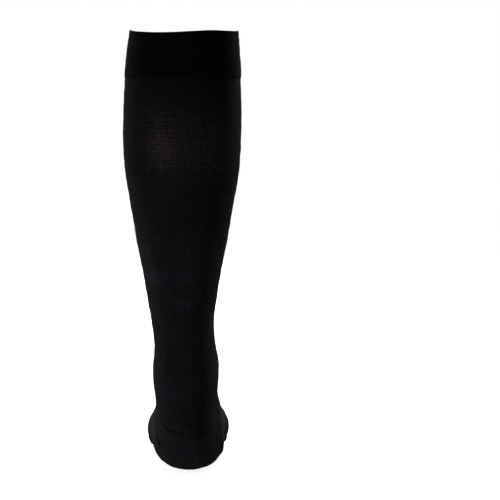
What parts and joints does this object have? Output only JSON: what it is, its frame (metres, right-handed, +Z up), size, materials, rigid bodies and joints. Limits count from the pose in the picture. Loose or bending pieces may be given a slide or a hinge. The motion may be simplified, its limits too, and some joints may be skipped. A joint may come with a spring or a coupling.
{
  "type": "compression stocking",
  "caption": "Knee-high compression stocking, filled out as worn: doubled top band, graduated leg, reinforced pocket heel, foot and closed reinforced toe.",
  "frame": {"origin": "centre of the top opening, level with the rim, where the wearer's leg holds the stocking up", "axes": "+Z up the leg, +Y towards the toes, +X towards the inner side of the left leg; the sole is 0.415 m below the origin"},
  "size_m": [0.1117, 0.2406, 0.4161],
  "materials": {
    "leg_knit": "fine black knit with a slight sheen at grazing angles",
    "welt_knit": "denser doubled black knit, matt",
    "pocket_knit": "thicker reinforced black knit, matt"
  },
  "bodies": {
    "root": {"top_band": "welt_knit", "leg_tube": "leg_knit", "heel_pocket": "pocket_knit", "foot_tube": "leg_knit", "toe_cap": "pocket_knit"}
  },
  "joints": []
}
